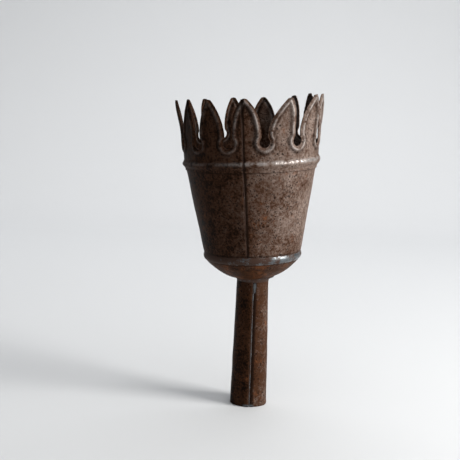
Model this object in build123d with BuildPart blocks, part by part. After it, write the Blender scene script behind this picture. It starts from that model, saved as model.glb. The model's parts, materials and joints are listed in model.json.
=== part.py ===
from build123d import *

import os
from math import cos, degrees, radians, sin, sqrt, tan

# Fruit-picker head: a crowned sheet-metal cup on a tapered socket for a wooden pole.
#
# Millimetres. +Z runs up the socket's axis, the origin is the centre of the socket's mouth, and the
# front, which carries the lapped seams, faces -Y. The cup is soldered on slightly out of line with
# the socket, so its pieces are drawn on their own plane, cup_frame, whose origin is the neck. A turn
# is an angle in degrees round an axis, from the front towards +X.

# Sheet and solder
SHEET = 0.8  # thickness of the rolled and pressed sheets
GAP = 0.1  # clearance between two sheets that lap
LAP = 5.0  # width of a lapped seam
BITE = 0.2  # how far a raised layer reaches into the sheet that it is part of
SOLDER_WIDTH = 1.0  # width of the solder run beside a lapped seam
SOLDER_RISE = 0.5  # height of that run above the sheet
RUN_START = 1.0  # the socket's run starts this far above its mouth

# Pole socket: a rolled taper, widest at its mouth
MOUTH_R = 18.05  # outside radius at the mouth
NECK_R = 15.25  # outside radius where the cup begins
NECK_Z = 125.3  # height of the neck
FLANGE_R = 18.6  # the socket's end is turned out to this radius inside the cup
FLANGE_Z = NECK_Z + 3.2  # underside of that flange
SOCKET_LAP_TOP = NECK_Z - 5
NECK_FILLET = 3.2  # how far the solder under the cup reaches out from the socket
FLANGE_FILLET = 1.2  # how far the solder inside the cup reaches out from the flange

# Cup: heights are measured from the neck, along the cup's own axis
CUP_LEAN = 3.2  # degrees between the cup's axis and the socket's, towards -X
DISH_R = 58.5  # outside radius of the bottom's sphere
DISH_CENTRE = 56.5  # height of that sphere's centre
RIM_R = 46.0  # the sphere ends at this radius from the axis
DISH_START = 8.0  # and it is drawn from this radius, which the socket's hole removes
FLANGE_TOP = 28.5  # upper edge of the bottom's flange, inside the cone
CONE_FOOT = 21.0  # lower edge of the cone
FOOT_TOP = 25.0  # the cone's foot is straight up to here
FOOT_R = 46.35  # outside radius of that foot
CONE_SLOPE = 0.189  # radius gained for each millimetre of height
CONE_TOP = 111.5  # upper edge of the cone, inside the crown
CONE_LAP = (29.0, 105.0)  # the seam's lap shows between these heights
BAND_LOW_R = 43.5  # the solder wiped round the cone's foot starts at this radius, under the cup
BAND_R = 46.9  # radius of that solder at the corner
BAND_TOP = 27.4  # and its upper edge

# Crown: a stamped strip with pointed petals, whose beaded skirt laps over the cone
SKIRT_LOW = 106.2
BEAD_LOW = 107.6
BEAD_CREST = (65.0, 112.8)  # radius and height
BEAD_HIGH = (63.7, 118.4)
KNEE = (64.7, 137.0)  # the crown flares a little more above this height
TIP = (67.6, 172.6)

# Keyhole slots between the petals, cut by eye: those at the back are closer together and cut higher.
# Each has a turn and how far its hole is above HOLE_HEIGHT.
SLOTS = (
    (-48.0, 0.0),
    (-18.5, 0.0),
    (11.5, 0.0),
    (41.0, 0.0),
    (71.0, 0.5),
    (100.0, 2.5),
    (129.0, 4.6),
    (154.0, 4.6),
    (182.0, 4.6),
    (206.0, 4.6),
    (229.0, 4.2),
    (257.0, 2.5),
    (284.5, 0.5),
)
HOLE_HEIGHT = 133.0
HOLE_R = 4.9
THROAT = (3.2, 141.5)  # half the slot's width, and the height, at its narrowest
SHOULDER = (0.46, 156.0)  # share of the slot's open half width that it has at this height
TIP_HALF = 2.8  # half the width of a petal's blunt tip
RIDGE = (1.2, 5.2)  # the pressed ridge lies between these distances from the slot's edge
RIDGE_RISE = 0.9
SLOT_END = TIP[1] + 2
CUT_START = KNEE[0] - 12  # the slots are cut outwards from this distance to the axis
CUT_REACH = 24.0
BAND_START = KNEE[0] - 5  # and the ridges' bands are drawn outwards from this one
RIDGE_REACH = 12.0

SEAM_TURN = -6.6  # turn of the cup's and the crown's lapped seams
SOCKET_SEAM_TURN = 1.4  # and of the socket's
SEAM_SOLDER_TOP = 158.0  # the solder of the crown's seam ends here

leaning = Plane((0, 0, NECK_Z)).rotated((0, -CUP_LEAN, 0))
cup_frame = Plane((0, 0, NECK_Z), x_dir=leaning.x_dir, z_dir=leaning.z_dir)
cup_axis = Axis(cup_frame.origin, cup_frame.z_dir)


def section(frame, turn):
    """The half plane through a frame's Z axis at a turn: x is the radius, y the height."""
    angle = radians(turn - 90)
    outwards = frame.x_dir * cos(angle) + frame.y_dir * sin(angle)
    return Plane(frame.origin, x_dir=outwards, z_dir=outwards.cross(frame.z_dir))


def tangent_plane(turn, radius):
    """The plane square to the cup's radius at a turn: x is across, y is the cup's height."""
    outwards = section(cup_frame, turn).x_dir
    across = cup_frame.z_dir.cross(outwards)
    return Plane(cup_frame.origin + outwards * radius, x_dir=across, z_dir=outwards)


def socket_r(z):
    """The socket's outside radius at a height above its mouth."""
    return MOUTH_R + (NECK_R - MOUTH_R) * z / NECK_Z


def cone_r(height):
    """The cone's outside radius at a height above the neck."""
    return FOOT_R + CONE_SLOPE * max(0.0, height - FOOT_TOP)


def dish_point(radius, sphere_r):
    """A point of the bottom's profile, on a sphere about the bottom's centre."""
    return radius, DISH_CENTRE - sqrt(sphere_r**2 - radius**2)


def arc_of(width, radius):
    """The turn that a width takes up at a radius."""
    return degrees(width / radius)


def socket_layer(outer, inner, low, high):
    """The profile of a layer of the socket's wall between two insets and two heights."""
    Polyline(
        (socket_r(low) - outer, low),
        (socket_r(high) - outer, high),
        (socket_r(high) - inner, high),
        (socket_r(low) - inner, low),
        close=True,
    )


def cone_layer(outer, inner, low, high):
    """The profile of a layer of the cone's wall between two insets and two heights."""
    heights = [low, FOOT_TOP, high] if low < FOOT_TOP else [low, high]
    rising = [(cone_r(h) - outer, h) for h in heights]
    falling = [(cone_r(h) - inner, h) for h in reversed(heights)]
    Polyline(*rising, *falling, close=True)


def crown_line(inset):
    """The crown's profile from the skirt to the tips, inset from its outer face. Returns its ends."""
    skirt = (cone_r(SKIRT_LOW) + GAP + SHEET - inset, SKIRT_LOW)
    bead_low = (cone_r(BEAD_LOW) + GAP + SHEET - inset, BEAD_LOW)
    crest, bead_high, knee, tip = [(r - inset, h) for r, h in (BEAD_CREST, BEAD_HIGH, KNEE, TIP)]
    Line(skirt, bead_low)
    ThreePointArc(bead_low, crest, bead_high)
    Polyline(bead_high, knee, tip)
    return skirt, tip


def crown_layer(outer, inner):
    """The profile of a layer of the crown's wall between two insets."""
    for outer_end, inner_end in zip(crown_line(outer), crown_line(inner)):
        Line(outer_end, inner_end)


def open_half_of(number):
    """Half of a slot's width at the petals' tips: its share of the space to the slots beside it."""
    before, after = SLOTS[number - 1], SLOTS[(number + 1) % len(SLOTS)]
    half_pitch = (after[0] - before[0]) % 360 / 4
    return TIP[0] * tan(radians(half_pitch)) - TIP_HALF


def slot_shape(open_half, lift):
    """One keyhole slot: a round hole, a neck, and sides that part up to the petals' tips."""
    hole = HOLE_HEIGHT + lift
    with BuildSketch() as slot:
        with BuildLine():
            neck = (THROAT[0], THROAT[1] + lift)
            right = [neck, (SHOULDER[0] * open_half, SHOULDER[1]), (open_half, TIP[1])]
            left = [(-x, y) for x, y in right]
            ThreePointArc(*right)
            ThreePointArc(*left)
            Polyline(right[-1], (open_half, SLOT_END), (-open_half, SLOT_END), left[-1])
            Polyline(right[0], (THROAT[0], hole), (-THROAT[0], hole), left[0])
        make_face()
        with Locations((0, hole)):
            Circle(HOLE_R)
    return slot.sketch


def widened(shape, amount):
    """A slot's shape, grown by an amount on every side."""
    with BuildSketch() as grown:
        add(shape)
        offset(amount=amount)
    return grown.sketch


slots = [(turn, slot_shape(open_half_of(number), lift)) for number, (turn, lift) in enumerate(SLOTS)]

# Pole socket: the rolled taper, its turned-out end and the lap of its seam
with BuildPart() as pole_socket:
    with BuildSketch(section(Plane.XY, SOCKET_SEAM_TURN)):
        with BuildLine():
            Polyline(
                (MOUTH_R, 0),
                (socket_r(FLANGE_Z), FLANGE_Z),
                (FLANGE_R, FLANGE_Z),
                (FLANGE_R, FLANGE_Z + SHEET),
                (socket_r(FLANGE_Z) - SHEET, FLANGE_Z + SHEET),
                (MOUTH_R - SHEET, 0),
                close=True,
            )
        make_face()
    revolve(axis=Axis.Z)
    with BuildSketch(section(Plane.XY, SOCKET_SEAM_TURN)):
        with BuildLine():
            socket_layer(-SHEET, BITE, 0, SOCKET_LAP_TOP)
        make_face()
    revolve(axis=Axis.Z, revolution_arc=-arc_of(LAP, MOUTH_R))
pole_socket.part.label = "pole_socket"

# Bottom of the cup: a pressed dish whose flange stands inside the cone, open for the socket
with BuildPart() as cup_bottom:
    inner_r = DISH_R - SHEET
    flange_out = FOOT_R - SHEET - GAP
    flange_in = flange_out - SHEET
    with BuildSketch(section(cup_frame, 0)):
        with BuildLine():
            ThreePointArc(*[dish_point(r, DISH_R) for r in (DISH_START, RIM_R / 2, RIM_R)])
            ThreePointArc(*[dish_point(r, inner_r) for r in (DISH_START, RIM_R / 2, flange_in)])
            Line(dish_point(DISH_START, DISH_R), dish_point(DISH_START, inner_r))
            Polyline(
                dish_point(RIM_R, DISH_R),
                (RIM_R, CONE_FOOT - GAP),
                (flange_out, CONE_FOOT - GAP),
                (flange_out, FLANGE_TOP),
                (flange_in, FLANGE_TOP),
                dish_point(flange_in, inner_r),
            )
        make_face()
    revolve(axis=cup_axis)
    with BuildSketch(section(Plane.XY, 0)):
        with BuildLine():
            socket_layer(-GAP, MOUTH_R / 2, NECK_Z - FLANGE_R / 3, NECK_Z + FLANGE_R / 3)
        make_face()
    revolve(axis=Axis.Z, mode=Mode.SUBTRACT)
cup_bottom.part.label = "cup_bottom"

# Wall of the cup: a rolled cone with a lapped seam
with BuildPart() as cup_cone:
    with BuildSketch(section(cup_frame, SEAM_TURN)):
        with BuildLine():
            cone_layer(0, SHEET, CONE_FOOT, CONE_TOP)
        make_face()
    revolve(axis=cup_axis)
    with BuildSketch(section(cup_frame, SEAM_TURN)):
        with BuildLine():
            cone_layer(-SHEET, BITE, *CONE_LAP)
        make_face()
    revolve(axis=cup_axis, revolution_arc=-arc_of(LAP, FOOT_R))
cup_cone.part.label = "cup_cone"

# The ridges pressed round the slots: a raised layer of the crown, kept in a band by each slot's edge
with BuildPart() as ridge_bands:
    for turn, shape in slots:
        with BuildSketch(tangent_plane(turn, BAND_START)):
            add(widened(shape, RIDGE[1]))
            add(widened(shape, RIDGE[0]), mode=Mode.SUBTRACT)
        extrude(amount=RIDGE_REACH)

with BuildPart() as ridges:
    with BuildSketch(section(cup_frame, SEAM_TURN)):
        with BuildLine():
            crown_layer(-RIDGE_RISE, BITE)
        make_face()
    revolve(axis=cup_axis)
    add(ridge_bands.part, mode=Mode.INTERSECT)

# Crown: the stamped strip with its bead, the lap of its seam, its ridges and the slots
with BuildPart() as crown_band:
    with BuildSketch(section(cup_frame, SEAM_TURN)):
        with BuildLine():
            crown_layer(0, SHEET)
        make_face()
    revolve(axis=cup_axis)
    with BuildSketch(section(cup_frame, SEAM_TURN)):
        with BuildLine():
            crown_layer(-SHEET, BITE)
        make_face()
    revolve(axis=cup_axis, revolution_arc=-arc_of(LAP, KNEE[0]))
    add(ridges.part)
    for turn, shape in slots:
        with BuildSketch(tangent_plane(turn, CUT_START)):
            add(shape)
        extrude(amount=CUT_REACH, mode=Mode.SUBTRACT)
crown_band.part.label = "crown_band"

# Solder wiped round the cone's foot, over its joint with the bottom
with BuildPart() as foot_solder:
    with BuildSketch(section(cup_frame, 0)):
        with BuildLine():
            low_edge, middle, rim = [dish_point(r, DISH_R) for r in (BAND_LOW_R, RIM_R - 1, RIM_R)]
            top_edge = (cone_r(BAND_TOP), BAND_TOP)
            ThreePointArc(low_edge, dish_point(RIM_R - 1, DISH_R + SOLDER_RISE), (BAND_R, CONE_FOOT + 1))
            Polyline((BAND_R, CONE_FOOT + 1), top_edge, (FOOT_R, FOOT_TOP), (FOOT_R, CONE_FOOT))
            Polyline((FOOT_R, CONE_FOOT), (RIM_R, CONE_FOOT), rim)
            ThreePointArc(rim, middle, low_edge)
        make_face()
    revolve(axis=cup_axis)
foot_solder.part.label = "foot_solder"

# Solder run round the socket under the cup
with BuildPart() as neck_solder:
    with BuildSketch(section(Plane.XY, 0)):
        with BuildLine():
            low, high, wide = NECK_Z - NECK_FILLET, NECK_Z + NECK_FILLET, NECK_R + NECK_FILLET
            edge = (wide, NECK_Z + NECK_FILLET / 5)
            ThreePointArc((socket_r(low), low), (NECK_R + NECK_FILLET / 3, NECK_Z - 0.8), edge)
            Polyline(edge, (wide, high), (socket_r(high), high), (socket_r(low), low))
        make_face()
    revolve(axis=Axis.Z)
    with Locations(cup_frame.offset(DISH_CENTRE)):
        Sphere(DISH_R, mode=Mode.SUBTRACT)
neck_solder.part.label = "neck_solder"

# Solder that fills the space under the socket's flange, inside the cup
with BuildPart() as flange_solder:
    with BuildSketch(section(Plane.XY, 0)):
        with BuildLine():
            low, wide = NECK_Z - NECK_FILLET, FLANGE_R + FLANGE_FILLET
            Polyline(
                (socket_r(low), low),
                (wide, low),
                (wide, FLANGE_Z - SHEET / 2),
                (FLANGE_R, FLANGE_Z + SHEET / 2),
                (FLANGE_R, FLANGE_Z),
                (socket_r(FLANGE_Z), FLANGE_Z),
                close=True,
            )
        make_face()
    revolve(axis=Axis.Z)
    with Locations(cup_frame.offset(DISH_CENTRE)):
        Sphere(DISH_R - SHEET, mode=Mode.INTERSECT)
flange_solder.part.label = "flange_solder"

# Solder between the cone's upper edge and the bead of the crown
with BuildPart() as crown_solder:
    with BuildSketch(section(cup_frame, 0)):
        with BuildLine():
            base, top = CONE_TOP - SHEET, CONE_TOP + SHEET
            inner, outer = cone_r(CONE_TOP) - SHEET / 2, BEAD_CREST[0]
            Polyline((inner, base), (inner, top - SHEET / 2), (outer, top), (outer, base), close=True)
        make_face()
    revolve(axis=cup_axis)
    add(cup_cone.part, mode=Mode.SUBTRACT)
    with BuildSketch(section(cup_frame, 0)):
        with BuildLine():
            crown_layer(-SHEET, SHEET)
        make_face()
    revolve(axis=cup_axis, mode=Mode.SUBTRACT)
crown_solder.part.label = "crown_solder"

# Solder run along each lapped seam
with BuildPart() as socket_seam_solder:
    with BuildSketch(section(Plane.XY, SOCKET_SEAM_TURN)):
        with BuildLine():
            socket_layer(-SOLDER_RISE, 0, RUN_START, SOCKET_LAP_TOP)
        make_face()
    revolve(axis=Axis.Z, revolution_arc=arc_of(SOLDER_WIDTH, MOUTH_R))
socket_seam_solder.part.label = "socket_seam_solder"

with BuildPart() as cone_seam_solder:
    with BuildSketch(section(cup_frame, SEAM_TURN)):
        with BuildLine():
            cone_layer(-SOLDER_RISE, 0, *CONE_LAP)
        make_face()
    revolve(axis=cup_axis, revolution_arc=arc_of(SOLDER_WIDTH, FOOT_R))
cone_seam_solder.part.label = "cone_seam_solder"

with BuildPart() as crown_seam_solder:
    with BuildSketch(section(cup_frame, SEAM_TURN)):
        with BuildLine():
            crown_layer(-SOLDER_RISE, 0)
        make_face()
    revolve(axis=cup_axis, revolution_arc=arc_of(SOLDER_WIDTH, KNEE[0]))
    split(bisect_by=cup_frame.offset(SEAM_SOLDER_TOP), keep=Keep.BOTTOM)
crown_seam_solder.part.label = "crown_seam_solder"

os.makedirs("parts", exist_ok=True)
for piece in (
    crown_band,
    cup_cone,
    cup_bottom,
    pole_socket,
    crown_solder,
    foot_solder,
    neck_solder,
    flange_solder,
    crown_seam_solder,
    cone_seam_solder,
    socket_seam_solder,
):
    export_step(piece.part, f"parts/{piece.part.label}.step")
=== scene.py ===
"""Looks for a rusted sheet-metal fruit picker head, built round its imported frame.

Lengths are in metres. The cup's pieces are drawn about their own axis, which starts at the neck,
and are then leaned and lifted into place. A turn is an angle round that axis, counted from the
lapped seam.
"""

import json
import math

import bmesh
import bpy
from bpy.props import FloatProperty, FloatVectorProperty, IntProperty, PointerProperty
from mathutils import Matrix, Vector, noise
from mathutils.geometry import interpolate_bezier

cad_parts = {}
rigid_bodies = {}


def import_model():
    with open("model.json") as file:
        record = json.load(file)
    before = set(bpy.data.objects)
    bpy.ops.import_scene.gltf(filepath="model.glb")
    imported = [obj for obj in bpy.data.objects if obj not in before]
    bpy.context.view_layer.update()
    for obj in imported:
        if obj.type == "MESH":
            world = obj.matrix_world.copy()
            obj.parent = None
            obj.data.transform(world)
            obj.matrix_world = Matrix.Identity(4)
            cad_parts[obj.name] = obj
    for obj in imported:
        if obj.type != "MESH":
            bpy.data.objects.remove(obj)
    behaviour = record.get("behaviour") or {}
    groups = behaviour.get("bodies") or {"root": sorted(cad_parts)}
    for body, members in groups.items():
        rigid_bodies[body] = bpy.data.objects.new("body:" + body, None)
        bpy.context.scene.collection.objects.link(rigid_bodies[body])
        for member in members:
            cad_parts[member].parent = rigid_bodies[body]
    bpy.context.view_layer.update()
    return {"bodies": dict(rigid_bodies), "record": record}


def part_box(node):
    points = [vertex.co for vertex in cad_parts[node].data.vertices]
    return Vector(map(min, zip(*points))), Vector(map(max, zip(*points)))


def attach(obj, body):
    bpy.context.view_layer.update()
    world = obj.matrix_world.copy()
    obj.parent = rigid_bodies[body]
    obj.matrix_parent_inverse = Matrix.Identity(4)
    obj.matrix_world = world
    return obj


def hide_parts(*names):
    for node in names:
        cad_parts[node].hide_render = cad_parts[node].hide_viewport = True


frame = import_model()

bl_info = {
    "name": "Fruit Picker Head",
    "version": (1, 0, 0),
    "blender": (4, 5, 0),
    "location": "View3D > Sidebar > Picker",
    "description": "Builds the visible pieces of a rusted fruit picker head round its frame",
    "category": "Add Mesh",
}

MM = 0.001
SOCKET_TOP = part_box("pole_socket")[1].z
MOUNTS = {mount["name"]: mount for mount in frame["record"]["mounts"]}
MOUTH_INSIDE = MOUNTS["pole_socket"]["dims"]["r_mm"] * MM
SHEET = 0.8 * MM


def length(name, description, default):
    """A property that holds a length in metres."""
    return FloatProperty(
        name=name, description=description, default=default, unit="LENGTH", precision=5
    )


def angle(name, description, degrees):
    """A property that holds an angle."""
    return FloatProperty(
        name=name, description=description, default=math.radians(degrees), subtype="ANGLE"
    )


def colour(name, description, default):
    """A property that holds a linear colour."""
    return FloatVectorProperty(
        name=name, description=description, default=default, subtype="COLOR", size=3
    )


class PickerSizes(bpy.types.PropertyGroup):
    """Sizes of the sheet-metal pieces. Heights of the cup and crown are measured from the neck."""

    sheet: length("Sheet", "Thickness of the sheet metal", SHEET)
    seam_turn: angle("Cup seam turn", "Turn of the cup's seams from the front towards +X", -6.6)
    socket_seam_turn: angle("Socket seam turn", "Turn of the socket's seam, likewise", 1.4)
    lap: length("Lap", "How far a seam's outer sheet takes to reach the wall", 9 * MM)

    mouth_r: length("Mouth radius", "Outside radius of the socket's mouth", MOUTH_INSIDE + SHEET)
    neck_r: length("Neck radius", "Outside radius of the socket under the cup", 15.25 * MM)
    neck_z: length("Neck height", "Height of the neck above the mouth", SOCKET_TOP - 4 * MM)
    flange_r: length("Flange radius", "Radius of the socket's turned-out end", 18.6 * MM)

    cup_lean: angle("Cup lean", "Angle between the cup's axis and the socket's", 3.2)
    dish_r: length("Dish radius", "Outside radius of the bottom's sphere", 58.5 * MM)
    dish_centre: length("Dish centre", "Height of that sphere's centre", 56.5 * MM)
    foot: length("Foot", "Height of the cone's lower edge", 21 * MM)
    foot_top: length("Foot top", "Height where the cone starts to widen", 25 * MM)
    foot_r: length("Foot radius", "Outside radius of the cone's foot", 46.35 * MM)
    cone_slope: FloatProperty(
        name="Cone slope", description="Radius gained for each unit of height", default=0.189
    )
    cone_top: length("Cone top", "Height of the cone's upper edge", 111.5 * MM)

    skirt: length("Skirt", "Height of the crown's lower edge", 106.2 * MM)
    bead: length("Bead", "Height of the bead's crest", 112.8 * MM)
    bead_rise: length("Bead rise", "How far the bead stands out", 2.2 * MM)
    bead_half: length("Bead half width", "Half of the bead's width", 4.4 * MM)
    knee: length("Knee", "Height above which the crown flares more", 137 * MM)
    knee_r: length("Knee radius", "Outside radius of the crown there", 64.7 * MM)
    tip: length("Tip", "Height of the petals' tips", 172.4 * MM)
    tip_r: length("Tip radius", "Outside radius at the tips", 67.6 * MM)
    tip_half: length("Half tip", "Half the width of a petal's blunt tip", 2.4 * MM)
    hole: length("Hole", "Height of the stem holes' centres", 133 * MM)
    hole_r: length("Hole radius", "Radius of the stem holes", 4.9 * MM)
    throat: length("Half throat", "Half the width of a slot at its narrowest", 3.1 * MM)
    throat_top: length("Throat top", "Height where a slot starts to widen", 142 * MM)
    ridge_rise: length("Ridge rise", "Height of the ridges pressed beside the slots", 1.5 * MM)
    ridge_width: length("Ridge width", "Width of those ridges", 5.6 * MM)
    oval: length("Oval", "How far the crown is out of round towards +X", 1.3 * MM)
    crown_tilt: angle("Crown tilt", "How far the crown is out of true with the cup", 1.1)
    steps: IntProperty(name="Steps", description="Steps of a full spin", default=240)


class PickerColours(bpy.types.PropertyGroup):
    """Colours of the rust, the worn metal and the solder."""

    # Also the painted shade along laps, where the pieces meet, at the ridges' feet and towards -X.
    pitch: colour("Pitch", "Darkest brown, in the pits and grime", (0.0060, 0.0022, 0.0008))
    brown: colour("Brown", "The usual dark brown of the old rust", (0.042, 0.0165, 0.0070))
    # A grey dusting on the rust, and also a painted sheen towards +X and the painted highlight on
    # the edge of a lap.
    dust_and_sheen: colour("Dust", "Greyish brown bloom on the rust", (0.195, 0.148, 0.125))
    orange: colour("Orange", "Fresh rust", (0.13, 0.046, 0.017))
    # Bare metal where it wears, and also a painted highlight on the bead and towards +X.
    worn_and_highlight: colour("Worn", "Rubbed metal on ridges and edges", (0.41, 0.385, 0.37))
    solder: colour("Solder", "Dull grey solder", (0.155, 0.17, 0.18))
    floor: colour("Floor", "The plain pale floor", (0.62, 0.63, 0.64))


# ---------------------------------------------------------------- shapes

BEAD_ROUNDNESS = 1.2  # 1 is a plain wave, and more is narrower at the crest
SEAM_SLACK = 0.05 * MM  # how far past a seam's edge a point is still on the outer sheet
SEAM_OPEN = 0.2 * MM  # the gap between a closed sheet's two ends
SEED_STEP = Vector((7.3, 3.1, 5.7))  # how far apart in the noise two seeds are
CORNER = math.radians(50)  # bends sharper than this get an eased edge


def smooth(share):
    """A share from 0 to 1 with soft ends."""
    share = min(1.0, max(0.0, share))
    return share * share * (3 - 2 * share)


def rough(point, size, seed=0):
    """Smooth noise from -1 to 1, with lumps of about that size."""
    return noise.noise(Vector(point) / size + seed * SEED_STEP)


def dents(point, broad, fine, seed):
    """Depth in millimetres of two kinds of dents, each given as (size, depth) in millimetres."""
    return sum(
        rough(point, size * MM, seed + number) * depth
        for number, (size, depth) in enumerate((broad, fine))
    )


def cup_place(sizes):
    """From the cup's own frame, whose X axis points at the seam, to the row frame."""
    lift = Matrix.Translation((0, 0, sizes.neck_z))
    lean = Matrix.Rotation(-sizes.cup_lean, 4, "Y")
    return lift @ lean @ Matrix.Rotation(sizes.seam_turn - math.pi / 2, 4, "Z")


def socket_place(sizes):
    """From a frame whose X axis points at the socket's seam to the row frame."""
    return Matrix.Rotation(sizes.socket_seam_turn - math.pi / 2, 4, "Z")


def socket_r(sizes, z):
    return sizes.mouth_r + (sizes.neck_r - sizes.mouth_r) * z / sizes.neck_z


def cone_r(sizes, height):
    return sizes.foot_r + sizes.cone_slope * max(0.0, height - sizes.foot_top)


def dish_height(sizes, radius, inset=0.0):
    return sizes.dish_centre - math.sqrt((sizes.dish_r - inset) ** 2 - radius**2)


def crown_r(sizes, height):
    """The crown's outside radius: a straight wall, a flare above the knee, and the bead."""
    hem_r = cone_r(sizes, sizes.skirt) + sizes.sheet
    if height < sizes.knee:
        share = (height - sizes.skirt) / (sizes.knee - sizes.skirt)
        radius = hem_r + (sizes.knee_r - hem_r) * share
    else:
        share = (height - sizes.knee) / (sizes.tip - sizes.knee)
        radius = sizes.knee_r + (sizes.tip_r - sizes.knee_r) * share
    across = abs(height - sizes.bead) / sizes.bead_half
    if across < 1:
        radius += sizes.bead_rise * math.cos(across * math.pi / 2) ** BEAD_ROUNDNESS
    return radius


def lap_rise(sizes, arc):
    """How far the outer sheet of a lapped seam stands out, at an arc from the seam's edge."""
    return sizes.sheet * (1 - smooth(-arc / sizes.lap)) if arc <= SEAM_SLACK else 0.0


def on_circle(turn, radius, height):
    return (radius * math.cos(turn), radius * math.sin(turn), height)


def signed(turn):
    """A turn between minus half and half a circle."""
    return (turn + math.pi) % (2 * math.pi) - math.pi


def spun(profile, steps, closed=False):
    """A profile of (radius, height) points spun round the Z axis, starting at the seam."""
    bm = bmesh.new()
    verts = [bm.verts.new((radius, 0, height)) for radius, height in profile]
    pairs = list(zip(verts, verts[1:]))
    if closed:
        pairs.append((verts[-1], verts[0]))
    edges = [bm.edges.new(pair) for pair in pairs]
    bmesh.ops.spin(
        bm,
        geom=verts + edges,
        cent=(0, 0, 0),
        axis=(0, 0, 1),
        angle=2 * math.pi,
        steps=steps,
        use_merge=True,
    )
    return bm


def reshape(bm, change):
    """Moves each vertex of a spun shape. change turns its turn, radius and height into new ones."""
    for vert in bm.verts:
        turn = signed(math.atan2(vert.co.y, vert.co.x))
        turn, radius, height = change(turn, vert.co.xy.length, vert.co.z)
        vert.co = on_circle(turn, radius, height)


def unwrap(bm, radius):
    """Gives a spun shape a UV map in metres: the arc from the seam at a radius, and the height."""
    layer = bm.loops.layers.uv.new("sheet")
    for face in bm.faces:
        middle = face.calc_center_median()
        middle_turn = math.atan2(middle.y, middle.x)
        for loop in face.loops:
            point = loop.vert.co
            turn = middle_turn + signed(math.atan2(point.y, point.x) - middle_turn)
            loop[layer].uv = (turn * radius, point.z)


def closed_seam(sizes, turn, radius):
    """Draws a spun sheet's first column back to the seam, which makes the edge of the lap."""
    column = 2 * math.pi / sizes.steps
    return SEAM_OPEN / radius if 0.5 * column < turn < 1.5 * column else turn


def face_outwards(bm):
    """Turns the faces of an open shell away from the Z axis."""
    bmesh.ops.recalc_face_normals(bm, faces=bm.faces)
    outwards = sum(
        face.normal.xy.dot(face.calc_center_median().xy) * face.calc_area() for face in bm.faces
    )
    if outwards < 0:
        bmesh.ops.reverse_faces(bm, faces=bm.faces)


def piece(name, bm, place, material, slot, *nodes):
    """A finished piece from a bmesh, which rides on the body and replaces CAD nodes."""
    bm.transform(place)
    mesh = bpy.data.meshes.new(name)
    bm.to_mesh(mesh)
    bm.free()
    mesh.materials.append(material)
    obj = bpy.data.objects.new(name, mesh)
    bpy.context.scene.collection.objects.link(obj)
    mesh.shade_smooth()
    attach(obj, "root")
    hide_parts(*nodes)
    return obj


def thicken(obj, thickness, edge):
    """Gives a shell its thickness, inwards, with eased edges."""
    solidify = obj.modifiers.new("thickness", "SOLIDIFY")
    solidify.thickness = thickness
    solidify.offset = -1
    solidify.use_even_offset = True
    bevel = obj.modifiers.new("eased edges", "BEVEL")
    bevel.width = edge
    bevel.segments = 2
    bevel.limit_method = "ANGLE"
    bevel.angle_limit = CORNER
    apply_modifiers(obj)


def apply_modifiers(obj):
    """Makes the modifiers' result the mesh, smooth but for its real corners."""
    bpy.context.view_layer.update()
    graph = bpy.context.evaluated_depsgraph_get()
    mesh = bpy.data.meshes.new_from_object(obj.evaluated_get(graph))
    obj.modifiers.clear()
    obj.data = mesh
    mesh.shade_smooth()
    mesh.set_sharp_from_angle(angle=math.radians(42))


# ---------------------------------------------------------------- the crown

# Each slot's turn, in degrees from the front, and the millimetres that its hole is raised. They
# were cut by eye: those at the back are closer together and higher.
SLOTS = (
    (-48.0, 0.0),
    (-18.5, 0.0),
    (11.5, 0.0),
    (41.0, 0.0),
    (71.0, 0.5),
    (100.0, 2.5),
    (129.0, 4.6),
    (154.0, 4.6),
    (182.0, 4.6),
    (206.0, 4.6),
    (229.0, 4.2),
    (257.0, 2.5),
    (284.5, 0.5),
)

# How each petal is bent, from the one after the first slot: the degrees that its tip leans round
# the crown, the millimetres that it stands out and up, its twist, and how full its two sides are.
PETALS = (
    (-0.6, 0.0, 0.3, 0.4, 0.62, 0.70),
    (-0.8, 0.2, 0.1, 0.0, 0.80, 0.80),
    (7.0, -0.3, -0.6, 0.9, 0.56, 0.80),
    (4.8, 1.4, 1.2, 0.9, 0.60, 0.95),
    (-1.5, 0.0, 1.2, 1.6, 0.95, 0.60),
    (3.4, -1.6, 2.2, -1.0, 0.52, 0.60),
    (-2.6, 0.3, 0.4, 0.6, 0.74, 0.62),
    (0.0, 0.2, -0.2, -0.4, 0.68, 0.62),
    (0.3, -0.2, 0.6, 0.3, 0.60, 0.62),
    (4.2, 0.3, 0.6, 0.8, 0.56, 0.80),
    (0.0, 0.4, 0.8, -0.8, 0.62, 0.62),
    (0.0, 1.8, 0.6, 0.6, 0.62, 0.62),
    (0.4, -2.6, 0.6, 0.8, 0.62, 0.50),
)
TORN = 5  # the petal whose tip is torn

# Steps along one side of a slot: under the hole and beside it, in the throat, on the flank, and at
# the tip. Then rows from a slot to the middle of a petal, and down the skirt.
HOLE_STEPS = (8, 11)
THROAT_STEPS = 5
FLANK_STEPS = 26
TIP_STEPS = 4
PETAL_ROWS = 16
SKIRT_ROWS = 14
CROWDING = 1.35  # rows crowd towards the slot, where the ridge is

HOLE_CORNER = math.radians(52)  # where the lines from the hole's underside turn to its side
HOLE_END = math.radians(134)  # where the hole opens into the throat
FLANK_BOW = 0.09  # how far the flank's lower handle leans out, as a share of its reach
FLANK_HANDLE = 0.34  # how long its handles are, as a share of its rise

RIDGE_LIP = 0.35 * MM  # flat metal between a slot's edge and its ridge
RIDGE_WEAR = 0.8  # how much wear the ridges carry, where the bead has 1, which is also its painted highlight
SHADE_FOOT = 1.02  # where the painted shade is darkest, in ridge widths from the slot's edge
SHADE_SPREAD = 0.26  # how wide that painted shade is, in ridge widths

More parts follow.
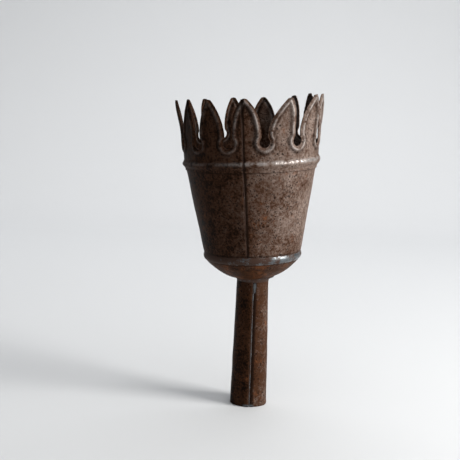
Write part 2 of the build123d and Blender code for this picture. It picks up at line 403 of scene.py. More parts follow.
LEAN_CURVE, OUT_CURVE = 1.6, 1.4  # how late up a petal its lean and its bend outwards come
TWIST_ARM = 8 * MM  # how far from a petal's middle its twist is measured
TEAR = (1.6 * MM, 2.2 * MM)  # how far the torn tip is ragged sideways and down
SEAM_CUTS = (-1.2, -0.3, 0.0, 0.2, 0.7, 1.6)  # millimetres from the seam where the strip is cut
CROWN_DENTS = ((22, 0.5), (7, 0.16))  # broad and fine ones: a size and a depth in millimetres


def half_petal_edges(sizes, half_pitch, fullness, lift):
    """Two lines of equally many points: one side of a slot, and what it faces in half a petal.

    The first runs from the bottom of the hole, through the throat, up to the middle of the tip. The
    second runs from under the hole along the petal's foot, and then up its middle.
    """
    hem = sizes.bead + sizes.bead_half + 2 * MM
    shoulder = sizes.throat_top - 3 * MM
    top = sizes.tip - 6 * MM
    hole, throat_top = sizes.hole + lift, sizes.throat_top + lift
    below, beside = HOLE_STEPS
    edge, facing = [], []

    def on_hole(turn):
        across, down = sizes.hole_r * math.sin(turn), sizes.hole_r * math.cos(turn)
        return Vector((across, hole - down, 0))

    for step in range(below + 1):
        turn = HOLE_CORNER * step / below
        edge.append(on_hole(turn))
        facing.append(Vector((half_pitch * math.tan(turn) / math.tan(HOLE_CORNER), hem, 0)))
    for step in range(1, beside + 1):
        share = step / beside
        edge.append(on_hole(HOLE_CORNER + (HOLE_END - HOLE_CORNER) * share))
        facing.append(Vector((half_pitch, hem + (shoulder - hem) * share, 0)))

    opening = edge[-1]
    along = Vector((math.cos(HOLE_END), math.sin(HOLE_END), 0))
    throat = Vector((sizes.throat, throat_top, 0))
    corner = Vector((half_pitch - sizes.tip_half, sizes.tip - 0.6 * MM, 0))
    middle = Vector((half_pitch, sizes.tip, 0))
    reach, rise = corner.x - throat.x, corner.y - throat.y
    neck = (opening + along * MM, throat - Vector((0, 2.2 * MM, 0)))
    flank = (
        throat + Vector((FLANK_BOW * reach, FLANK_HANDLE * rise, 0)),
        corner - Vector((fullness * reach, FLANK_HANDLE * rise, 0)),
    )
    blunt = (
        corner.lerp(middle, 0.3) + Vector((0, 0.35 * MM, 0)),
        middle - Vector((MM, 0, 0)),
    )
    curves = (
        ((opening, *neck, throat), THROAT_STEPS, sizes.throat_top),
        ((throat, *flank, corner), FLANK_STEPS, top - 4 * MM),
        ((corner, *blunt, middle), TIP_STEPS, top),
    )
    for controls, steps, height in curves:
        from_height = facing[-1].y
        for step, point in enumerate(interpolate_bezier(*controls, steps + 1)[1:], 1):
            edge.append(point)
            rise_to = from_height + (height - from_height) * step / steps
            facing.append(Vector((half_pitch, rise_to, 0)))
    return edge, facing


def distance_to(line, point):
    """The distance from a point to a line of points."""
    best = math.inf
    for start, end in zip(line, line[1:]):
        along = end - start
        share = min(1.0, max(0.0, (point - start).dot(along) / along.length_squared))
        best = min(best, (point - start - along * share).length)
    return best


def ridge(sizes, distance):
    """Height of the pressed ridge at a distance from a slot's edge, as a share of its rise."""
    share = (distance - RIDGE_LIP) / sizes.ridge_width
    return math.sin(math.pi * share) ** 2 if 0 < share < 1 else 0.0


def ridge_foot_shade(sizes, distance):
    """The painted shade at a distance from a slot's edge: darkest along the ridge's far foot."""
    return math.exp(-(((distance / sizes.ridge_width - SHADE_FOOT) / SHADE_SPREAD) ** 2))


def add_half_petal(bm, sizes, number, side):
    """Adds half a petal, on one side of a slot, laid out flat.

    x is the arc from the seam, y is the height and z is how far the metal is raised.
    """
    turn, lift = SLOTS[number]
    petal = number if side > 0 else (number - 1) % len(SLOTS)
    neighbour = SLOTS[(number + side) % len(SLOTS)][0]
    half_pitch = math.radians((neighbour - turn) * side % 360 / 2) * sizes.knee_r
    lean, out, up, twist, *fullness = PETALS[petal]
    edge, facing = half_petal_edges(sizes, half_pitch, fullness[0 if side > 0 else 1], lift * MM)
    pressed = [point for point in edge if point.x < half_pitch - 0.8 * sizes.tip_half]
    columns = len(edge) - 1
    grid = bmesh.ops.create_grid(bm, x_segments=columns, y_segments=PETAL_ROWS, size=1)
    worn_and_highlight, ridge_shade = bm.verts.layers.float["worn_and_highlight"], bm.verts.layers.float["ridge_shade"]
    slot_x = (math.radians(turn) - sizes.seam_turn) * sizes.knee_r
    for vert in grid["verts"]:
        column = round((vert.co.x + 1) / 2 * columns)
        row = (vert.co.y + 1) / 2
        point = edge[column].lerp(facing[column], row**CROWDING)
        distance = distance_to(pressed, point)
        raised = ridge(sizes, distance)
        bent = max(0.0, (point.y - sizes.throat_top) / (sizes.tip - sizes.throat_top))
        across = side * (point.x - half_pitch)
        if petal == TORN and bent > 0.5 and row < 0.5:
            sideways, down = TEAR
            point.x += sideways * abs(rough((point.x, point.y, 0), 4 * MM, 3)) * bent
            near_tip = max(0.0, bent - 0.8) / 0.2
            point.y -= down * abs(rough((point.x, point.y, 0), 2 * MM, 4)) * near_tip
        vert[worn_and_highlight] = RIDGE_WEAR * raised
        vert[ridge_shade] = ridge_foot_shade(sizes, distance)
        leaning = math.radians(lean) * sizes.knee_r * bent**LEAN_CURVE
        twisting = twist * MM * bent * across / TWIST_ARM
        vert.co = (
            slot_x + side * point.x + leaning,
            point.y + up * MM * bent,
            raised * sizes.ridge_rise + out * MM * bent**OUT_CURVE + twisting,
        )


def flat_crown(sizes):
    """The crown's strip laid out flat, with its petals, its skirt and the cuts for its seam."""
    bm = bmesh.new()
    for name in ("worn_and_highlight", "ridge_shade"):
        bm.verts.layers.float.new(name)
    for number in range(len(SLOTS)):
        add_half_petal(bm, sizes, number, 1)
        add_half_petal(bm, sizes, number, -1)
    close = 0.01 * MM
    bmesh.ops.remove_doubles(bm, verts=bm.verts, dist=close)
    hem = min(vert.co.y for vert in bm.verts)
    rim = [edge for edge in bm.edges if all(vert.co.y < hem + close for vert in edge.verts)]
    for _ in range(SKIRT_ROWS):
        grown = bmesh.ops.extrude_edge_only(bm, edges=rim)["geom"]
        verts = [item for item in grown if isinstance(item, bmesh.types.BMVert)]
        edges = [item for item in grown if isinstance(item, bmesh.types.BMEdge)]
        step = (0, (sizes.skirt - hem) / SKIRT_ROWS, 0)
        bmesh.ops.translate(bm, verts=verts, vec=step)
        rim = [edge for edge in edges if abs(edge.verts[0].co.y - edge.verts[1].co.y) < close]
    for arc in SEAM_CUTS:
        everything = bm.verts[:] + bm.edges[:] + bm.faces[:]
        bmesh.ops.bisect_plane(bm, geom=everything, plane_co=(arc * MM, 0, 0), plane_no=(1, 0, 0))
    return bm


def make_crown(sizes, material):
    bm = flat_crown(sizes)
    worn_and_highlight = bm.verts.layers.float["worn_and_highlight"]
    layer = bm.loops.layers.uv.new("sheet")
    for face in bm.faces:
        for loop in face.loops:
            loop[layer].uv = loop.vert.co.xy
    for vert in bm.verts:
        arc, height, raised = vert.co
        turn = arc / sizes.knee_r
        radius = crown_r(sizes, height) + raised + lap_rise(sizes, arc)
        radius += dents(on_circle(turn, radius, height), *CROWN_DENTS, seed=1) * MM
        sideways = math.cos(turn + sizes.seam_turn - math.pi / 2)
        free = smooth((height - sizes.skirt) / (10 * MM))
        radius += sizes.oval * free * max(0.0, sideways) ** 2
        skewed = free * math.tan(sizes.crown_tilt) * radius * sideways
        # A strip of wear along the bead's upper side, which is also a painted highlight there.
        bead_wear_and_highlight = 1 - abs(height - sizes.bead - 1.5 * MM) / (0.8 * sizes.bead_half)
        vert[worn_and_highlight] = max(vert[worn_and_highlight], smooth(bead_wear_and_highlight))
        vert.co = on_circle(turn, radius, height + skewed)
    bmesh.ops.remove_doubles(bm, verts=bm.verts, dist=0.02 * MM)
    face_outwards(bm)
    obj = piece("crown", bm, cup_place(sizes), material, "crown_tinplate", "crown_band")
    thicken(obj, sizes.sheet, 0.18 * MM)


# ---------------------------------------------------------------- cup and socket

CONE_ROWS, DISH_ROWS, SOCKET_ROWS = 48, 30, 56
CONE_DENTS = ((30, 0.55), (9, 0.14))  # as on the crown
DISH_DENTS = ((16, 0.5), (6, 0.12))
SOCKET_DENTS = ((20, 0.3), (6, 0.1))
FACETS = 6  # flats left round the socket's mouth where it was rolled
FACET_DEPTH = 0.22  # millimetres


def make_cone(sizes, material):
    foot, top = sizes.foot, sizes.cone_top
    heights = [foot + (top - foot) * row / CONE_ROWS for row in range(CONE_ROWS + 1)]
    bm = spun([(cone_r(sizes, height), height) for height in heights], sizes.steps)

    def change(turn, radius, height):
        turn = closed_seam(sizes, turn, radius)
        above_solder = smooth((height - sizes.foot_top - 2 * MM) / (3 * MM))
        below_crown = smooth((top - 3 * MM - height) / (8 * MM))
        dent = dents(on_circle(turn, radius, height), *CONE_DENTS, seed=5) * below_crown
        return turn, radius + above_solder * (lap_rise(sizes, turn * radius) + dent * MM), height

    reshape(bm, change)
    unwrap(bm, sizes.foot_r)
    face_outwards(bm)
    obj = piece("cup_wall", bm, cup_place(sizes), material, "cone_tinplate", "cup_cone")
    thicken(obj, sizes.sheet, 0.15 * MM)


def make_bottom(sizes, material):
    hole = sizes.neck_r + 0.6 * MM
    rim = sizes.foot_r - 1.2 * MM
    radii = [hole + (rim - hole) * row / DISH_ROWS for row in range(DISH_ROWS + 1)]
    profile = [(radius, dish_height(sizes, radius)) for radius in radii]
    rim_height = profile[-1][1]
    profile.append((rim + 0.2 * MM, rim_height + 1.5 * MM))
    profile.append((rim + 0.2 * MM, sizes.foot + 7.5 * MM))
    bm = spun(profile, sizes.steps)

    def change(turn, radius, height):
        inside = smooth((rim - radius) / (5 * MM)) * smooth((radius - hole) / (4 * MM))
        dent = dents(on_circle(turn, radius, height), *DISH_DENTS, seed=8)
        return turn, radius, height + inside * dent * MM

    reshape(bm, change)
    unwrap(bm, sizes.foot_r)
    face_outwards(bm)
    obj = piece("cup_dish", bm, cup_place(sizes), material, "bottom_tinplate", "cup_bottom")
    thicken(obj, sizes.sheet, 0.15 * MM)


def make_socket(sizes, material):
    flange = SOCKET_TOP - sizes.sheet
    heights = [(flange - MM) * row / SOCKET_ROWS for row in range(SOCKET_ROWS + 1)]
    profile = [(socket_r(sizes, z), z) for z in heights]
    neck, brim = socket_r(sizes, flange), flange + sizes.sheet
    profile += [(neck + 0.3 * MM, brim - 0.3 * MM), (neck + MM, brim), (sizes.flange_r, brim)]
    bm = spun(profile, sizes.steps)

    def change(turn, radius, height):
        turn = closed_seam(sizes, turn, radius)
        point = on_circle(turn, radius, height)
        below_neck = smooth((flange - 5 * MM - height) / (6 * MM))
        facet = FACET_DEPTH * math.cos(FACETS * turn + 0.9) * smooth(1 - height / (60 * MM))
        dent = facet + dents(point, *SOCKET_DENTS, seed=11)
        worn_mouth = smooth(1 - height / (4 * MM)) * 0.25 * (1 + rough(point, 10 * MM, 13))
        lap = lap_rise(sizes, turn * radius)
        return turn, radius + below_neck * (lap + dent * MM), height + worn_mouth * MM

    reshape(bm, change)
    unwrap(bm, sizes.neck_r)
    face_outwards(bm)
    obj = piece("socket", bm, socket_place(sizes), material, "socket_tinplate", "pole_socket")
    thicken(obj, sizes.sheet, 0.2 * MM)


# ---------------------------------------------------------------- solder

RING_STEPS = 200
RUN_SIDES, RUN_CUTS = 8, 140
RUN_TAPER = 4 * MM  # how far a run takes to reach its full width
BLUNT = 0.35  # the width of a run's end, as a share of its full width


def make_ring(name, profile, place, material, node, lump):
    """A lumpy ring of solder, from the outline of its section."""
    bm = spun(profile, RING_STEPS, closed=True)
    centre_r = sum(radius for radius, _ in profile) / len(profile)
    centre_z = sum(height for _, height in profile) / len(profile)

    def change(turn, radius, height):
        point = on_circle(turn, radius, height)
        grow = 1 + lump * (rough(point, 9 * MM, 21) + 0.4 * rough(point, 3 * MM, 22))
        return turn, centre_r + (radius - centre_r) * grow, centre_z + (height - centre_z) * grow

    reshape(bm, change)
    bmesh.ops.recalc_face_normals(bm, faces=bm.faces)
    obj = piece(name, bm, place, material, "solder", node)
    obj.data.set_sharp_from_angle(angle=math.radians(60))


def corners(radius, height, *offsets):
    """Points of (radius, height), each some millimetres out from and above a first one."""
    return [(radius + out * MM, height + up * MM) for out, up in offsets]


def make_rings(sizes, material, dull):
    cup, socket = cup_place(sizes), socket_place(sizes)
    rim = sizes.foot_r - 0.35 * MM
    under = rim - 1.5 * MM
    top = sizes.foot + 5.2 * MM
    foot = [
        *corners(under, dish_height(sizes, under), (0, 0.3), (-0.1, -0.05)),
        *corners(rim, sizes.foot, (-0.1, -0.9), (0.6, -0.2), (1.05, 1.0), (1.3, 2.2)),
        *corners(rim, sizes.foot, (1.2, 3.5), (0.95, 4.4)),
        *corners(cone_r(sizes, top), top, (0.06, 0), (-0.4, 0)),
        *corners(rim, sizes.foot, (0, 0.5)),
    ]
    make_ring("foot_band", foot, cup, material, "foot_solder", 0.045)

    low = sizes.neck_z - 2.6 * MM
    neck = [
        *corners(socket_r(sizes, low), low, (-0.3, 0), (0.15, 0)),
        *corners(sizes.neck_r, sizes.neck_z, (0.9, -0.7), (3.0, 0.7), (3.0, 1.4), (-0.3, 1.2)),
    ]
    make_ring("neck_fillet", neck, socket, dull, "neck_solder", 0.10)

    flange = [
        *corners(sizes.neck_r, sizes.neck_z, (0.2, 1.6)),
        *corners(sizes.flange_r, sizes.neck_z, (2.2, 1.9)),
        *corners(sizes.flange_r, SOCKET_TOP, (1.2, -1.2), (0.2, -0.4)),
        *corners(sizes.neck_r, SOCKET_TOP, (0.2, -0.9)),
    ]
    make_ring("flange_fillet", flange, socket, material, "flange_solder", 0.10)

    inside = cone_r(sizes, sizes.cone_top) - sizes.sheet
    outside = crown_r(sizes, sizes.cone_top) - sizes.sheet
    edge = [
        *corners(inside, sizes.cone_top, (0.3, -0.8), (0.1, 0.3), (0.9, 0.9)),
        *corners(outside, sizes.cone_top, (0.2, 1.6), (0.2, -0.8)),
    ]
    make_ring("rim_fillet", edge, cup, material, "crown_solder", 0.09)


def make_run(name, place, material, node, surface_r, low, high, width):
    """A thin run of solder in the corner of a lapped seam."""
    bm = bmesh.new()
    bmesh.ops.create_cone(bm, cap_ends=True, segments=RUN_SIDES, radius1=1, radius2=1, depth=1)
    upright = [edge for edge in bm.edges if abs(edge.verts[0].co.z - edge.verts[1].co.z) > 0.5]
    bmesh.ops.subdivide_edges(bm, edges=upright, cuts=RUN_CUTS, use_grid_fill=True)
    for vert in bm.verts:
        height = low + (high - low) * (vert.co.z + 0.5)
        point = (0, 0, height)
        swell = 1 + 0.45 * rough(point, 5 * MM, 31) + 0.3 * rough(point, 1.6 * MM, 32)
        ends = smooth((height - low) / RUN_TAPER) * smooth((high - height) / RUN_TAPER)
        half = 0.5 * width * swell * (BLUNT + (1 - BLUNT) * ends)
        radius = surface_r(height) + 0.1 * MM + vert.co.y * half
        turn = (0.15 * MM + vert.co.x * half) / radius
        vert.co = on_circle(turn, radius, height)
    bmesh.ops.recalc_face_normals(bm, faces=bm.faces)
    piece(name, bm, place, material, "solder", node)


def make_runs(sizes, bright, dull):
    cup = cup_place(sizes)
    make_run(
        "socket_seam",
        socket_place(sizes),
        bright,
        "socket_seam_solder",
        lambda z: socket_r(sizes, z),
        0.8 * MM,
        sizes.neck_z - 11 * MM,
        1.25 * MM,
    )
    make_run(
        "cone_seam",
        cup,
        dull,
        "cone_seam_solder",
        lambda height: cone_r(sizes, height),
        sizes.foot + 7 * MM,
        sizes.skirt - MM,
        0.5 * MM,
    )
    make_run(
        "crown_seam",
        cup,
        dull,
        "crown_seam_solder",
        lambda height: crown_r(sizes, height) - 0.1 * MM,
        sizes.skirt + 2 * MM,
        sizes.tip - 16 * MM,
        0.45 * MM,
    )


# ---------------------------------------------------------------- materials


class Finish:
    """Builds one material's nodes."""

    def __init__(self, name):
        self.material = bpy.data.materials.new(name)
        self.material.use_nodes = True
        self.tree = self.material.node_tree
        self.shader = self.tree.nodes["Principled BSDF"]
        self.place = self.add("TexCoord").outputs["Object"]

    def put(self, socket, value):
        """Sets a socket to a value, or links it to an output."""
        if isinstance(value, bpy.types.NodeSocket):
            self.tree.links.new(value, socket)
        else:
            socket.default_value = value

    def add(self, kind, inputs=None, **settings):
        node = self.tree.nodes.new("ShaderNode" + kind)
        for key, value in settings.items():
            setattr(node, key, value)
        for key, value in (inputs or {}).items():
            self.put(node.inputs[key], value)
        return node

    def clouds(self, size, detail=5.0, roughness=0.6):
        """Noise from 0 to 1, with features of about that size."""
        inputs = {
            "Vector": self.place,
            "Scale": 1 / size,
            "Detail": detail,
            "Roughness": roughness,
        }
        return self.add("TexNoise", inputs).outputs["Fac"]

    def math(self, operation, first, second=0.0):
        return self.add("Math", {0: first, 1: second}, operation=operation).outputs[0]

    def times(self, first, second):
        return self.math("MULTIPLY", first, second)

    def sum(self, *parts):
        """The sum of parts, each of them an output and its weight."""
        total = self.times(*parts[0])
        for output, weight in parts[1:]:
            total = self.math("ADD", total, self.times(output, weight))
        return total

    def between(self, value, low, high, start=0.0, end=1.0):
        """start below low, end above high, and a soft step between them."""
        inputs = {
            "Value": value,
            "From Min": low,
            "From Max": high,
            "To Min": start,
            "To Max": end,
        }
        return self.add("MapRange", inputs, interpolation_type="SMOOTHSTEP").outputs["Result"]

    def band(self, value, rises, falls):
        """1 inside a band, with a soft step from and to each pair of numbers."""
        return self.times(self.between(value, *rises), self.between(value, *falls, 1.0, 0.0))

    def sideways(self):
        """How far a point is towards +X, in metres."""
        return self.add("SeparateXYZ", {"Vector": self.place}).outputs["X"]

    def marked(self, name):
        """The value that a piece's mesh carries under a name, or 0 where it has none."""
        return self.add("Attribute", attribute_name=name).outputs["Fac"]

    def mix(self, share, first, second):
        """From one colour to another."""
        node = self.add("Mix", data_type="RGBA")
        for number, value in ((0, share), (6, first), (7, second)):
            if number and not isinstance(value, bpy.types.NodeSocket):
                value = (*value, 1)
            self.put(node.inputs[number], value)
        return node.outputs[2]

    def bump(self, height, distance, strength):
        inputs = {"Height": height, "Distance": distance, "Strength": strength}
        self.put(self.shader.inputs["Normal"], self.add("Bump", inputs).outputs["Normal"])


PIT_KINDS = ((2.2 * MM, 0.44), (3.6 * MM, 0.50))  # a size, and how rare that kind is
SEAM_HIGHLIGHT = ((-1.3 * MM, -0.4 * MM), (-0.2 * MM, 0.1 * MM))  # a painted highlight along the edge of a lap
SEAM_SHADE = (-0.6 * MM, 0.1 * MM)  # where the painted shade in the corner beside it begins


def pits(made):
    """Small pits, in patches."""
    deepest = 0.0
    for size, rare in PIT_KINDS:
        inputs = {"Vector": made.place, "Scale": 1 / size, "Randomness": 1.0}
        cells = made.add("TexVoronoi", inputs).outputs["Distance"]
        patch = made.between(made.clouds(8 * MM, 3.0), rare - 0.03, rare + 0.10)
        pit = made.times(made.between(cells, 0.12, 0.40, 1.0, 0.0), patch)
        deepest = made.math("MAXIMUM", pit, deepest)
    return deepest


def seam_highlight_and_shade(made, colours, paint, arc, width):
    """A painted highlight along the edge of a lap, and painted shade in the corner beside it."""
    seam_highlight = made.band(arc, *SEAM_HIGHLIGHT)
    paint = made.mix(made.times(seam_highlight, 0.12), paint, colours.dust_and_sheen)
    shade = made.band(arc, SEAM_SHADE, (0.5 * width, width))
    return made.mix(made.times(shade, 0.9), paint, colours.pitch)


def smear(made, sheet, centre, reach, mottle):
    """A ragged oval smear of solder at a place on the unrolled sheet."""
    away = made.add("VectorMath", {0: sheet, 1: (*centre, 0)}, operation="SUBTRACT")
    scale = (1 / reach[0], 1 / reach[1], 0)
    inputs = {0: away.outputs["Vector"], 1: scale}
    shrunk = made.add("VectorMath", inputs, operation="MULTIPLY").outputs["Vector"]
    far = made.add("VectorMath", {0: shrunk}, operation="LENGTH").outputs["Value"]
    ragged = made.math("ADD", far, made.times(made.math("SUBTRACT", mottle, 0.5), 3.0))
    return made.between(ragged, 0.35, 1.1, 0.75, 0.0)


def rusted_tin(name, colours, orange, dust_and_sheen_amount, seam=3 * MM, smears=(), darkening=(), lit_side_paler=1.15):
    """Old rusted tinplate: brown and a grey dusting in clouds, fresh rust, pits, rubbing on the
    ridges, and painted shade and highlights.

    orange says how much fresh rust there is, and the argument after it how much grey dusting,
    which towards +X is also a painted sheen. seam is the width of the painted shade beside a lap,
    smears are places and sizes of solder on the unrolled sheet, and the argument after them gives
    heights and half widths of lines of painted shade where the pieces meet. The last argument is
    how much lighter the tone gets towards +X for each metre: painted light on the side where the
    window is, and painted shade on the other side.
    """
    made = Finish(name)
    broad = made.clouds(34 * MM, 4.0)
    mottle = made.clouds(8 * MM, 9.0, 0.75)
    grain = made.clouds(2.3 * MM, 6.0, 0.8)
    sideways = made.sideways()
    # The tone gets lighter towards +X: painted light on the side where the window is, and painted
    # shade on the other side.
    tone = made.sum((broad, 0.35), (mottle, 0.5), (grain, 0.6), (sideways, lit_side_paler))

    paint = made.mix(made.between(tone, 0.60, 0.71), colours.pitch, colours.brown)
    bloom_and_sheen = made.between(tone, 0.69 - 0.06 * dust_and_sheen_amount, 0.96 - 0.06 * dust_and_sheen_amount)
    # The grey dusting fades out towards -X, so towards +X its grey is also a painted sheen.
    bloom_and_sheen = made.times(bloom_and_sheen, made.between(sideways, -60 * MM, 45 * MM, 0.08, 1.0))
    paint = made.mix(bloom_and_sheen, paint, colours.dust_and_sheen)

    spots = made.clouds(14 * MM, 9.0, 0.78)
    fresh = made.between(spots, 0.61 - 0.09 * orange, 0.74 - 0.09 * orange, 0.0, 0.75)
    paint = made.mix(fresh, paint, colours.orange)
    pitted = pits(made)
    paint = made.mix(made.times(pitted, 0.9), paint, colours.pitch)

    rubbing_and_highlight = made.math("POWER", made.marked("worn_and_highlight"), 2.0)
    rubbing_and_highlight = made.times(rubbing_and_highlight, made.between(mottle, 0.38, 0.58))
    # Rubbing fades towards -X, so its light metal towards +X is also a painted highlight.
    rubbing_and_highlight = made.times(rubbing_and_highlight, made.between(sideways, -42 * MM, 8 * MM, 0.25, 1.0))
    paint = made.mix(made.times(rubbing_and_highlight, 0.68), paint, colours.worn_and_highlight)
    metal = made.between(rubbing_and_highlight, 0.2, 0.9, 0.0, 0.85)
    gloss = made.between(tone, 0.5, 0.9, 0.46, 0.58)
    gloss = made.math("SUBTRACT", gloss, made.times(rubbing_and_highlight, 0.22))
    # Painted shade along the foot of each ridge.
    painted_ridge_shade = made.times(made.marked("ridge_shade"), made.between(mottle, 0.35, 0.55, 0.9, 0.45))
    paint = made.mix(painted_ridge_shade, paint, colours.pitch)

    sheet = made.add("UVMap", uv_map="sheet").outputs["UV"]
    split = made.add("SeparateXYZ", {"Vector": sheet})
    waver = made.times(made.math("SUBTRACT", made.clouds(5 * MM, 3.0), 0.5), 1.2 * MM)
    # A painted highlight on each lap's edge, and painted shade in the corner beside it.
    if seam:
        arc = made.math("ADD", split.outputs["X"], waver)
        paint = seam_highlight_and_shade(made, colours, paint, arc, seam)
    # Lines of painted shade where the pieces meet.
    for middle, half in darkening:
        height = made.math("SUBTRACT", made.math("ADD", split.outputs["Y"], waver), middle)
        line = made.between(made.math("ABSOLUTE", height), 0.2 * half, half, 0.5, 0.0)
        paint = made.mix(line, paint, colours.pitch)
    for centre, reach in smears:
        share = smear(made, sheet, centre, reach, mottle)
        paint = made.mix(share, paint, [0.7 * channel for channel in colours.solder])
        metal = made.math("MAXIMUM", metal, made.times(share, 0.8))

    made.put(made.shader.inputs["Base Color"], paint)
    made.put(made.shader.inputs["Metallic"], metal)
    made.put(made.shader.inputs["Roughness"], gloss)
    made.shader.inputs["Specular IOR Level"].default_value = 0.04
    made.bump(made.sum((mottle, 0.7), (grain, 0.35), (pitted, -0.45)), 0.6 * MM, 0.6)
    return made.material


def old_solder(name, colours, darkening):
    """Grey solder, brown in its hollows. It is lighter towards +X, as the tin is: that is painted
    light on the side where the window is, and painted shade on the other side.
    """
    made = Finish(name)
    lumps = made.clouds(7 * MM, 6.0, 0.66)
    grain = made.clouds(1.1 * MM, 4.0, 0.65)
    # The tone gets lighter towards +X: painted light on the side where the window is, and painted
    # shade on the other side.
    tone = made.sum((lumps, 0.8), (grain, 0.3), (made.sideways(), 2.6))
    dirt_and_shade = made.between(tone, 0.42 + 0.16 * darkening, 0.60 + 0.16 * darkening, 1.0, 0.0)
    paint = made.mix(grain, [0.45 * channel for channel in colours.solder], colours.solder)
    paint = made.mix(made.times(dirt_and_shade, 0.9), paint, colours.brown)
    made.put(made.shader.inputs["Base Color"], paint)
    made.put(made.shader.inputs["Metallic"], made.between(dirt_and_shade, 0.2, 0.8, 0.85, 0.05))
    made.put(made.shader.inputs["Roughness"], made.between(dirt_and_shade, 0.1, 0.9, 0.30, 0.6))
    made.shader.inputs["Specular IOR Level"].default_value = 0.1
    made.bump(made.sum((lumps, 1.0), (grain, 0.4)), 0.5 * MM, 0.5)
    return made.material


def plain_floor(colours):
    """Pale matt floor with a faint tooth."""
    made = Finish("pale_floor")
    made.put(made.shader.inputs["Base Color"], (*colours.floor, 1))
    made.put(made.shader.inputs["Roughness"], 0.8)
    made.bump(made.clouds(4 * MM, 3.0), 0.3 * MM, 0.15)
    return made.material


# ---------------------------------------------------------------- the stage


FLOOR_NEAR, FLOOR_HALF_WIDTH = -6.0, 6.0
WALL_Y, WALL_TOP = 1.75, 3.2
SWEEP_R, SWEEP_STEPS = 0.6, 12
OBJECT_MIDDLE = Vector((0, 0, 0.17))
CAMERA_PLACE = Vector((-0.01114, -0.94989, 0.30482))
CAMERA_TURNS = [math.radians(turn) for turn in (0.765, -8.046, 2.028)]  # to the left, up, rolled


def make_stage(colours):
    """A plain floor and backdrop, a window-like light from the right, and a camera."""
    make_floor(colours)
    make_lights()
    make_room()
    add_camera()
    bpy.context.scene.view_settings.view_transform = "Standard"


def make_floor(colours):
    """A floor that sweeps up into a backdrop."""
    bend = WALL_Y - SWEEP_R
    path = [Vector((-FLOOR_HALF_WIDTH, FLOOR_NEAR, 0)), Vector((-FLOOR_HALF_WIDTH, bend, 0))]
    for step in range(1, SWEEP_STEPS + 1):
        turn = math.pi / 2 * step / SWEEP_STEPS
        on_sweep = Vector((0, SWEEP_R * math.sin(turn), SWEEP_R - SWEEP_R * math.cos(turn)))
        path.append(path[1] + on_sweep)
    path.append(Vector((-FLOOR_HALF_WIDTH, WALL_Y, WALL_TOP)))
    bm = bmesh.new()
    verts = [bm.verts.new(point) for point in path]
    edges = [bm.edges.new(pair) for pair in zip(verts, verts[1:])]
    grown = bmesh.ops.extrude_edge_only(bm, edges=edges)["geom"]
    verts = [item for item in grown if isinstance(item, bmesh.types.BMVert)]
    bmesh.ops.translate(bm, verts=verts, vec=(2 * FLOOR_HALF_WIDTH, 0, 0))
    bmesh.ops.recalc_face_normals(bm, faces=bm.faces)
    mesh = bpy.data.meshes.new("floor")
    bm.to_mesh(mesh)
    bm.free()
    mesh.shade_smooth()
    mesh.materials.append(plain_floor(colours))
    floor = bpy.data.objects.new("floor", mesh)
    bpy.context.scene.collection.objects.link(floor)


def make_lights():
    """A window on the right, a long lamp that lights the backdrop, and a soft ceiling."""
    window = Vector((1.36, -0.50, 0.66))
    add_lamp("window", window, OBJECT_MIDDLE, (0.7, 0.9), 27, (1.0, 0.985, 0.96), 150)
    over_wall, wall_foot = Vector((0.2, 0.85, 1.9)), Vector((0, WALL_Y, 0.5))
    add_lamp("wall", over_wall, wall_foot, (1.6, 0.4), 17, (0.97, 0.98, 1.0), 180)
    ceiling = bpy.data.lights.new("ceiling", "SUN")
    ceiling.energy = 1.35
    ceiling.angle = math.radians(70)
    above = Vector((0.25, -0.3, 1))
    link_light("ceiling", ceiling, above.to_track_quat("Z", "Y").to_matrix().to_4x4())


def make_room():
    """The surroundings: dim for what they light, and pale where they are seen."""
    world = bpy.data.worlds.new("room")
    world.use_nodes = True
    tree = world.node_tree
    background = tree.nodes["Background"]
    background.inputs["Color"].default_value = (0.80, 0.82, 0.85, 1)
    seen = tree.nodes.new("ShaderNodeLightPath").outputs["Is Camera Ray"]
    strength = tree.nodes.new("ShaderNodeMapRange")
    strength.inputs["To Min"].default_value, strength.inputs["To Max"].default_value = 0.06, 0.78
    tree.links.new(seen, strength.inputs["Value"])
    tree.links.new(strength.outputs["Result"], background.inputs["Strength"])
    bpy.context.scene.world = world


def add_lamp(name, place, target, size, power, light_colour, spread):
    """A rectangular lamp that faces a target."""
    data = bpy.data.lights.new(name, "AREA")
    data.spread = math.radians(spread)
    data.shape = "RECTANGLE"
    data.size, data.size_y = size
    data.energy = power
    data.color = light_colour
    facing = (target - place).to_track_quat("-Z", "Y").to_matrix().to_4x4()
    link_light(name, data, Matrix.Translation(place) @ facing)


def link_light(name, data, matrix):
    light = bpy.data.objects.new(name, data)
    light.matrix_world = matrix
    bpy.context.scene.collection.objects.link(light)


def add_camera():
    """A camera in front, level with the tips of the petals, a little rolled."""
    data = bpy.data.cameras.new("camera")
    data.sensor_width = 36.0
    data.lens = 77.75
    data.clip_start = 0.05
    camera = bpy.data.objects.new("camera", data)
    heading, pitch, roll = CAMERA_TURNS
    level = Matrix.Rotation(heading, 4, "Z") @ Matrix.Rotation(math.pi / 2 + pitch, 4, "X")
    camera.matrix_world = Matrix.Translation(CAMERA_PLACE) @ level @ Matrix.Rotation(roll, 4, "Z")
    bpy.context.scene.collection.objects.link(camera)
    bpy.context.scene.camera = camera


# ---------------------------------------------------------------- the add-on


class PickerOperator:
    """What the operators share: a frame is loaded, so their pieces can ride on it."""

    bl_options = {"REGISTER", "UNDO"}

    @classmethod
    def poll(cls, context):
        return "root" in frame["bodies"]


class PICKER_OT_crown(PickerOperator, bpy.types.Operator):
    """Make the crown of petals"""

    bl_idname = "picker.crown"
    bl_label = "Crown"

    def execute(self, context):
        sizes, colours = context.scene.picker_sizes, context.scene.picker_colours
        make_crown(sizes, rusted_tin("crown_rust", colours, orange=0.25, dust_and_sheen_amount=0.75))
        return {"FINISHED"}


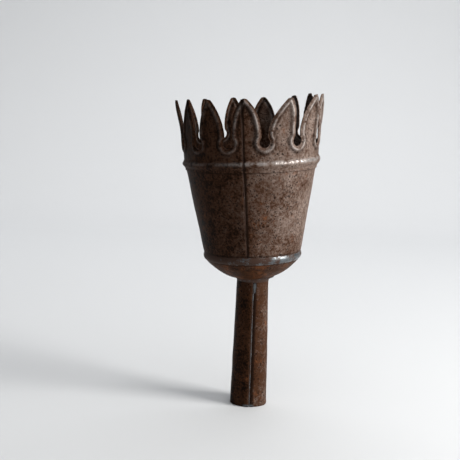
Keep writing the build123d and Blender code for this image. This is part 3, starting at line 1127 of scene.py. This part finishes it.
class PICKER_OT_cup(PickerOperator, bpy.types.Operator):
    """Make the cup's wall and its round bottom"""

    bl_idname = "picker.cup"
    bl_label = "Cup"

    def execute(self, context):
        sizes, colours = context.scene.picker_sizes, context.scene.picker_colours
        # Painted shade just above the foot's solder and just under the crown's hem.
        ends = ((sizes.foot + 6.2 * MM, 1.6 * MM), (sizes.skirt, 1.5 * MM))
        make_cone(sizes, rusted_tin("wall_rust", colours, orange=0.5, dust_and_sheen_amount=0.6, darkening=ends))
        # Painted shade just under the foot's solder.
        rim = ((sizes.foot - 1.6 * MM, 2.0 * MM),)
        dish_rust = rusted_tin("dish_rust", colours, orange=1.5, dust_and_sheen_amount=-0.6, seam=0, darkening=rim)
        make_bottom(sizes, dish_rust)
        return {"FINISHED"}


class PICKER_OT_socket(PickerOperator, bpy.types.Operator):
    """Make the tapered socket for the pole"""

    bl_idname = "picker.socket"
    bl_label = "Socket"

    def execute(self, context):
        sizes, colours = context.scene.picker_sizes, context.scene.picker_colours
        under_cup = ((1.6 * MM, 117 * MM), (1.7 * MM, 7 * MM))
        at_mouth = ((0, 1.5 * MM), (5 * MM, 1.5 * MM))
        socket_rust = rusted_tin(
            "socket_rust",
            colours,
            orange=0.6,
            dust_and_sheen_amount=-0.9,
            seam=4.6 * MM,
            smears=(under_cup, at_mouth),
            # The socket's tone rises steeply towards +X: painted light on its window side, painted
            # shade on the rest.
            lit_side_paler=4.5,
        )
        make_socket(sizes, socket_rust)
        return {"FINISHED"}


class PICKER_OT_solder(PickerOperator, bpy.types.Operator):
    """Make the rings and runs of solder"""

    bl_idname = "picker.solder"
    bl_label = "Solder"

    def execute(self, context):
        sizes, colours = context.scene.picker_sizes, context.scene.picker_colours
        dull = old_solder("dull_solder", colours, 0.95)
        make_rings(sizes, old_solder("joint_solder", colours, 0.6), dull)
        make_runs(sizes, old_solder("bright_solder", colours, 0.35), dull)
        return {"FINISHED"}


class PICKER_OT_stage(PickerOperator, bpy.types.Operator):
    """Make the floor, the lights and the camera"""

    bl_idname = "picker.stage"
    bl_label = "Stage"

    def execute(self, context):
        make_stage(context.scene.picker_colours)
        return {"FINISHED"}


OPERATORS = (PICKER_OT_crown, PICKER_OT_cup, PICKER_OT_socket, PICKER_OT_solder, PICKER_OT_stage)


class PICKER_PT_panel(bpy.types.Panel):
    """The sidebar panel with one button for each operator"""

    bl_idname = "PICKER_PT_panel"
    bl_label = "Fruit Picker Head"
    bl_space_type = "VIEW_3D"
    bl_region_type = "UI"
    bl_category = "Picker"

    def draw(self, context):
        for operator in OPERATORS:
            self.layout.operator(operator.bl_idname)


CLASSES = (PickerSizes, PickerColours, *OPERATORS, PICKER_PT_panel)


def register():
    for item in CLASSES:
        bpy.utils.register_class(item)
    bpy.types.Scene.picker_sizes = PointerProperty(type=PickerSizes)
    bpy.types.Scene.picker_colours = PointerProperty(type=PickerColours)


def unregister():
    del bpy.types.Scene.picker_sizes
    del bpy.types.Scene.picker_colours
    for item in reversed(CLASSES):
        bpy.utils.unregister_class(item)


def main():
    register()
    bpy.ops.picker.stage()
    bpy.ops.picker.crown()
    bpy.ops.picker.cup()
    bpy.ops.picker.socket()
    bpy.ops.picker.solder()


if __name__ == "__main__":
    main()
